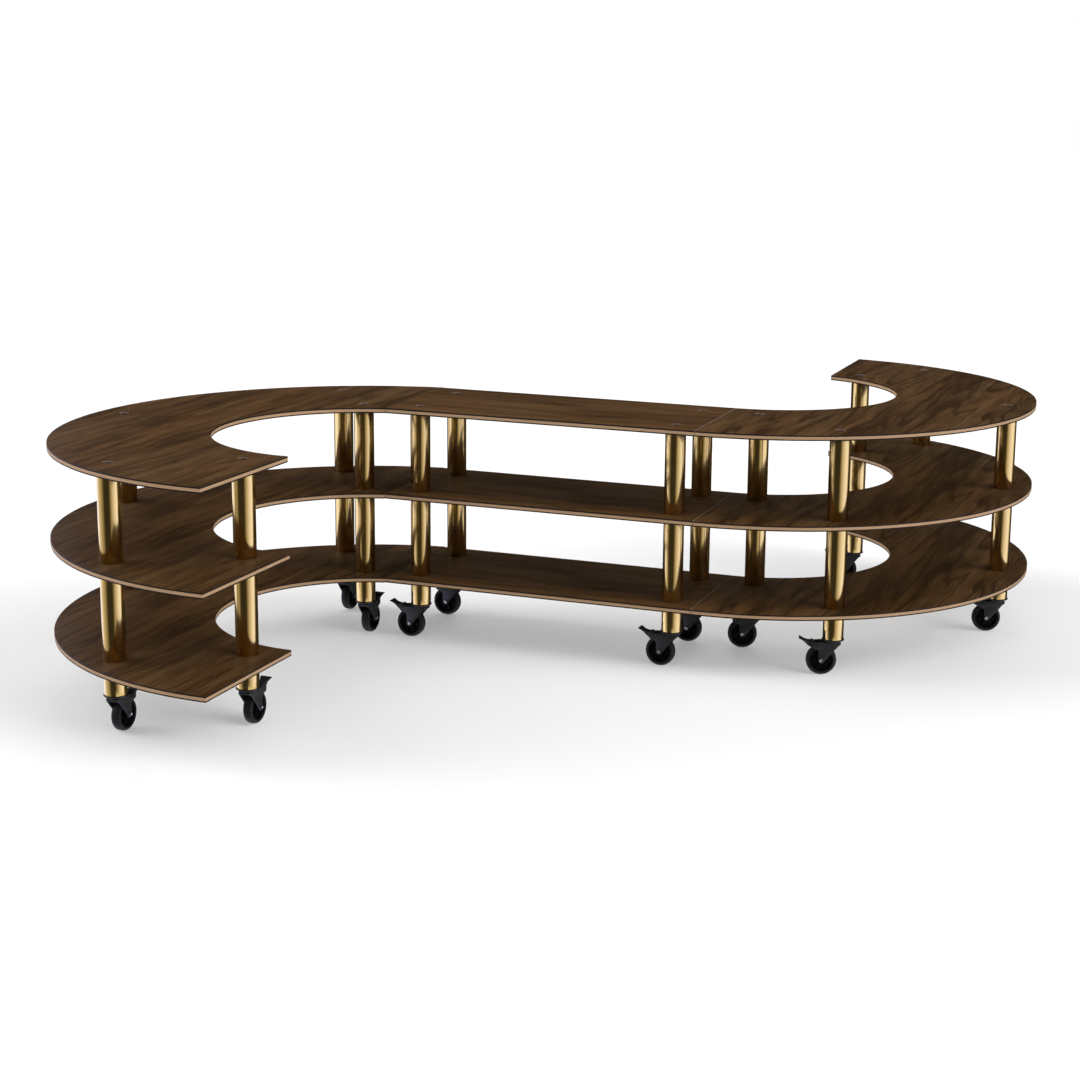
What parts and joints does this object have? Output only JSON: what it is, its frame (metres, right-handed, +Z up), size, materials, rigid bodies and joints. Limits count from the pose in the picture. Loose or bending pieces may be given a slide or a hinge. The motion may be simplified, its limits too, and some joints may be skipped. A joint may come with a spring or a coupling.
{
  "type": "buffet serving station",
  "caption": "S-shaped serving counter of curved and straight tiered trolleys: walnut boards on polished brass tube columns, each on a swivel castor.",
  "frame": {"origin": "on the floor, under the middle of the station's outline", "axes": "+X along the straight trolley towards the ring that curves away from the viewer, +Y away from the viewer, +Z up"},
  "size_m": [3.194, 3.6442, 0.91],
  "materials": {
    "walnut_board": "satin laminate, dark walnut grain with a tan core edge",
    "brass_tube": "polished",
    "castor_steel": "satin black",
    "castor_tyre": "matt black"
  },
  "bodies": {
    "centre_trolley": {"centre_top_shelf": "walnut_board", "centre_middle_shelf": "walnut_board", "centre_bottom_shelf": "walnut_board", "centre_front_left_column": "brass_tube", "centre_front_right_column": "brass_tube", "centre_back_left_column": "brass_tube", "centre_back_right_column": "brass_tube"},
    "left_trolley": {"left_top_shelf": "walnut_board", "left_middle_shelf": "walnut_board", "left_bottom_shelf": "walnut_board", "left_near_outer_column": "brass_tube", "left_near_inner_column": "brass_tube", "left_middle_outer_column": "brass_tube", "left_far_outer_column": "brass_tube", "left_far_inner_column": "brass_tube"},
    "right_trolley": {"right_top_shelf": "walnut_board", "right_middle_shelf": "walnut_board", "right_bottom_shelf": "walnut_board", "right_near_outer_column": "brass_tube", "right_near_inner_column": "brass_tube", "right_middle_outer_column": "brass_tube", "right_far_outer_column": "brass_tube", "right_far_inner_column": "brass_tube"},
    "centre_front_left_castor": {"centre_front_left_fork": "castor_steel"},
    "centre_front_left_wheel": {"centre_front_left_wheel": "castor_tyre"},
    "centre_front_left_brake": {"centre_front_left_pedal": "castor_steel"},
    "centre_front_right_castor": {"centre_front_right_fork": "castor_steel"},
    "centre_front_right_wheel": {"centre_front_right_wheel": "castor_tyre"},
    "centre_front_right_brake": {"centre_front_right_pedal": "castor_steel"},
    "centre_back_left_castor": {"centre_back_left_fork": "castor_steel"},
    "centre_back_left_wheel": {"centre_back_left_wheel": "castor_tyre"},
    "centre_back_right_castor": {"centre_back_right_fork": "castor_steel"},
    "centre_back_right_wheel": {"centre_back_right_wheel": "castor_tyre"},
    "left_near_outer_castor": {"left_near_outer_fork": "castor_steel"},
    "left_near_outer_wheel": {"left_near_outer_wheel": "castor_tyre"},
    "left_near_outer_brake": {"left_near_outer_pedal": "castor_steel"},
    "left_near_inner_castor": {"left_near_inner_fork": "castor_steel"},
    "left_near_inner_wheel": {"left_near_inner_wheel": "castor_tyre"},
    "left_near_inner_brake": {"left_near_inner_pedal": "castor_steel"},
    "left_middle_outer_castor": {"left_middle_outer_fork": "castor_steel"},
    "left_middle_outer_wheel": {"left_middle_outer_wheel": "castor_tyre"},
    "left_far_outer_castor": {"left_far_outer_fork": "castor_steel"},
    "left_far_outer_wheel": {"left_far_outer_wheel": "castor_tyre"},
    "left_far_inner_castor": {"left_far_inner_fork": "castor_steel"},
    "left_far_inner_wheel": {"left_far_inner_wheel": "castor_tyre"},
    "left_far_inner_brake": {"left_far_inner_pedal": "castor_steel"},
    "right_near_outer_castor": {"right_near_outer_fork": "castor_steel"},
    "right_near_outer_wheel": {"right_near_outer_wheel": "castor_tyre"},
    "right_near_outer_brake": {"right_near_outer_pedal": "castor_steel"},
    "right_near_inner_castor": {"right_near_inner_fork": "castor_steel"},
    "right_near_inner_wheel": {"right_near_inner_wheel": "castor_tyre"},
    "right_middle_outer_castor": {"right_middle_outer_fork": "castor_steel"},
    "right_middle_outer_wheel": {"right_middle_outer_wheel": "castor_tyre"},
    "right_middle_outer_brake": {"right_middle_outer_pedal": "castor_steel"},
    "right_far_outer_castor": {"right_far_outer_fork": "castor_steel"},
    "right_far_outer_wheel": {"right_far_outer_wheel": "castor_tyre"},
    "right_far_outer_brake": {"right_far_outer_pedal": "castor_steel"},
    "right_far_inner_castor": {"right_far_inner_fork": "castor_steel"},
    "right_far_inner_wheel": {"right_far_inner_wheel": "castor_tyre"},
    "right_far_inner_brake": {"right_far_inner_pedal": "castor_steel"}
  },
  "joints": [
    {"name": "left_trolley_roll_away", "type": "slide", "parent": "centre_trolley", "child": "left_trolley", "axis": [-1, 0, 0], "range_m": [0, 0.5]},
    {"name": "right_trolley_roll_away", "type": "slide", "parent": "centre_trolley", "child": "right_trolley", "axis": [1, 0, 0], "range_m": [0, 0.5]},
    {"name": "centre_front_left_swivel", "type": "hinge", "parent": "centre_trolley", "child": "centre_front_left_castor", "pos_m": [-0.577, -0.17398, 0.132], "axis": [0, 0, 1], "continuous": true},
    {"name": "centre_front_left_wheel_spin", "type": "hinge", "parent": "centre_front_left_castor", "child": "centre_front_left_wheel", "pos_m": [-0.618, -0.17398, 0.056], "axis": [0, -1, 0], "continuous": true},
    {"name": "centre_front_left_brake_press", "type": "hinge", "parent": "centre_front_left_castor", "child": "centre_front_left_brake", "pos_m": [-0.648, -0.17398, 0.116], "axis": [0, -1, 0], "range_deg": [0, 14]},
    {"name": "centre_front_right_swivel", "type": "hinge", "parent": "centre_trolley", "child": "centre_front_right_castor", "pos_m": [0.44, -0.17398, 0.132], "axis": [0, 0, 1], "continuous": true},
    {"name": "centre_front_right_wheel_spin", "type": "hinge", "parent": "centre_front_right_castor", "child": "centre_front_right_wheel", "pos_m": [0.399, -0.17398, 0.056], "axis": [0, -1, 0], "continuous": true},
    {"name": "centre_front_right_brake_press", "type": "hinge", "parent": "centre_front_right_castor", "child": "centre_front_right_brake", "pos_m": [0.369, -0.17398, 0.116], "axis": [0, -1, 0], "range_deg": [0, 14]},
    {"name": "centre_back_left_swivel", "type": "hinge", "parent": "centre_trolley", "child": "centre_back_left_castor", "pos_m": [-0.577, 0.16902, 0.132], "axis": [0, 0, 1], "continuous": true},
    {"name": "centre_back_left_wheel_spin", "type": "hinge", "parent": "centre_back_left_castor", "child": "centre_back_left_wheel", "pos_m": [-0.618, 0.16902, 0.056], "axis": [0, -1, 0], "continuous": true},
    {"name": "centre_back_right_swivel", "type": "hinge", "parent": "centre_trolley", "child": "centre_back_right_castor", "pos_m": [0.44, 0.16902, 0.132], "axis": [0, 0, 1], "continuous": true},
    {"name": "centre_back_right_wheel_spin", "type": "hinge", "parent": "centre_back_right_castor", "child": "centre_back_right_wheel", "pos_m": [0.399, 0.16902, 0.056], "axis": [0, -1, 0], "continuous": true},
    {"name": "left_near_outer_swivel", "type": "hinge", "parent": "left_trolley", "child": "left_near_outer_castor", "pos_m": [-1.01925, -1.59259, 0.132], "axis": [0, 0, 1], "continuous": true},
    {"name": "left_near_outer_wheel_spin", "type": "hinge", "parent": "left_near_outer_castor", "child": "left_near_outer_wheel", "pos_m": [-1.01925, -1.55159, 0.056], "axis": [-1, 0, 0], "continuous": true},
    {"name": "left_near_outer_brake_press", "type": "hinge", "parent": "left_near_outer_castor", "child": "left_near_outer_brake", "pos_m": [-1.01925, -1.52159, 0.116], "axis": [-1, 0, 0], "range_deg": [0, 14]},
    {"name": "left_near_inner_swivel", "type": "hinge", "parent": "left_trolley", "child": "left_near_inner_castor", "pos_m": [-0.6575, -1.3663, 0.132], "axis": [0, 0, 1], "continuous": true},
    {"name": "left_near_inner_wheel_spin", "type": "hinge", "parent": "left_near_inner_castor", "child": "left_near_inner_wheel", "pos_m": [-0.6575, -1.3253, 0.056], "axis": [-1, 0, 0], "continuous": true},
    {"name": "left_near_inner_brake_press", "type": "hinge", "parent": "left_near_inner_castor", "child": "left_near_inner_brake", "pos_m": [-0.6575, -1.2953, 0.116], "axis": [-1, 0, 0], "range_deg": [0, 14]},
    {"name": "left_middle_outer_swivel", "type": "hinge", "parent": "left_trolley", "child": "left_middle_outer_castor", "pos_m": [-1.495, -0.76857, 0.132], "axis": [0, 0, 1], "continuous": true},
    {"name": "left_middle_outer_wheel_spin", "type": "hinge", "parent": "left_middle_outer_castor", "child": "left_middle_outer_wheel", "pos_m": [-1.495, -0.72757, 0.056], "axis": [-1, 0, 0], "continuous": true},
    {"name": "left_far_outer_swivel", "type": "hinge", "parent": "left_trolley", "child": "left_far_outer_castor", "pos_m": [-1.01925, 0.05545, 0.132], "axis": [0, 0, 1], "continuous": true},
    {"name": "left_far_outer_wheel_spin", "type": "hinge", "parent": "left_far_outer_castor", "child": "left_far_outer_wheel", "pos_m": [-1.01925, 0.09645, 0.056], "axis": [-1, 0, 0], "continuous": true},
    {"name": "left_far_inner_swivel", "type": "hinge", "parent": "left_trolley", "child": "left_far_inner_castor", "pos_m": [-0.7945, -0.21425, 0.132], "axis": [0, 0, 1], "range_deg": [-45, 225]},
    {"name": "left_far_inner_wheel_spin", "type": "hinge", "parent": "left_far_inner_castor", "child": "left_far_inner_wheel", "pos_m": [-0.7945, -0.17325, 0.056], "axis": [-1, 0, 0], "continuous": true},
    {"name": "left_far_inner_brake_press", "type": "hinge", "parent": "left_far_inner_castor", "child": "left_far_inner_brake", "pos_m": [-0.7945, -0.14325, 0.116], "axis": [-1, 0, 0], "range_deg": [0, 14]},
    {"name": "right_near_outer_swivel", "type": "hinge", "parent": "right_trolley", "child": "right_near_outer_castor", "pos_m": [1.01925, -0.04651, 0.132], "axis": [0, 0, 1], "continuous": true},
    {"name": "right_near_outer_wheel_spin", "type": "hinge", "parent": "right_near_outer_castor", "child": "right_near_outer_wheel", "pos_m": [0.97984, -0.05781, 0.056], "axis": [0.2756, -0.9613, 0], "continuous": true},
    {"name": "right_near_outer_brake_press", "type": "hinge", "parent": "right_near_outer_castor", "child": "right_near_outer_brake", "pos_m": [0.951, -0.06608, 0.116], "axis": [0.2756, -0.9613, 0], "range_deg": [0, 14]},
    {"name": "right_near_inner_swivel", "type": "hinge", "parent": "right_trolley", "child": "right_near_inner_castor", "pos_m": [0.6575, 0.17979, 0.132], "axis": [0, 0, 1], "continuous": true},
    {"name": "right_near_inner_wheel_spin", "type": "hinge", "parent": "right_near_inner_castor", "child": "right_near_inner_wheel", "pos_m": [0.61809, 0.16849, 0.056], "axis": [0.2756, -0.9613, 0], "continuous": true},
    {"name": "right_middle_outer_swivel", "type": "hinge", "parent": "right_trolley", "child": "right_middle_outer_castor", "pos_m": [1.495, 0.77752, 0.132], "axis": [0, 0, 1], "continuous": true},
    {"name": "right_middle_outer_wheel_spin", "type": "hinge", "parent": "right_middle_outer_castor", "child": "right_middle_outer_wheel", "pos_m": [1.45559, 0.76621, 0.056], "axis": [0.2756, -0.9613, 0], "continuous": true},
    {"name": "right_middle_outer_brake_press", "type": "hinge", "parent": "right_middle_outer_castor", "child": "right_middle_outer_brake", "pos_m": [1.42675, 0.75795, 0.116], "axis": [0.2756, -0.9613, 0], "range_deg": [0, 14]},
    {"name": "right_far_outer_swivel", "type": "hinge", "parent": "right_trolley", "child": "right_far_outer_castor", "pos_m": [1.01925, 1.60154, 0.132], "axis": [0, 0, 1], "continuous": true},
    {"name": "right_far_outer_wheel_spin", "type": "hinge", "parent": "right_far_outer_castor", "child": "right_far_outer_wheel", "pos_m": [0.97984, 1.59024, 0.056], "axis": [0.2756, -0.9613, 0], "continuous": true},
    {"name": "right_far_outer_brake_press", "type": "hinge", "parent": "right_far_outer_castor", "child": "right_far_outer_brake", "pos_m": [0.951, 1.58197, 0.116], "axis": [0.2756, -0.9613, 0], "range_deg": [0, 14]},
    {"name": "right_far_inner_swivel", "type": "hinge", "parent": "right_trolley", "child": "right_far_inner_castor", "pos_m": [0.7945, 1.33184, 0.132], "axis": [0, 0, 1], "continuous": true},
    {"name": "right_far_inner_wheel_spin", "type": "hinge", "parent": "right_far_inner_castor", "child": "right_far_inner_wheel", "pos_m": [0.75509, 1.32054, 0.056], "axis": [0.2756, -0.9613, 0], "continuous": true},
    {"name": "right_far_inner_brake_press", "type": "hinge", "parent": "right_far_inner_castor", "child": "right_far_inner_brake", "pos_m": [0.72625, 1.31227, 0.116], "axis": [0.2756, -0.9613, 0], "range_deg": [0, 14]}
  ]
}
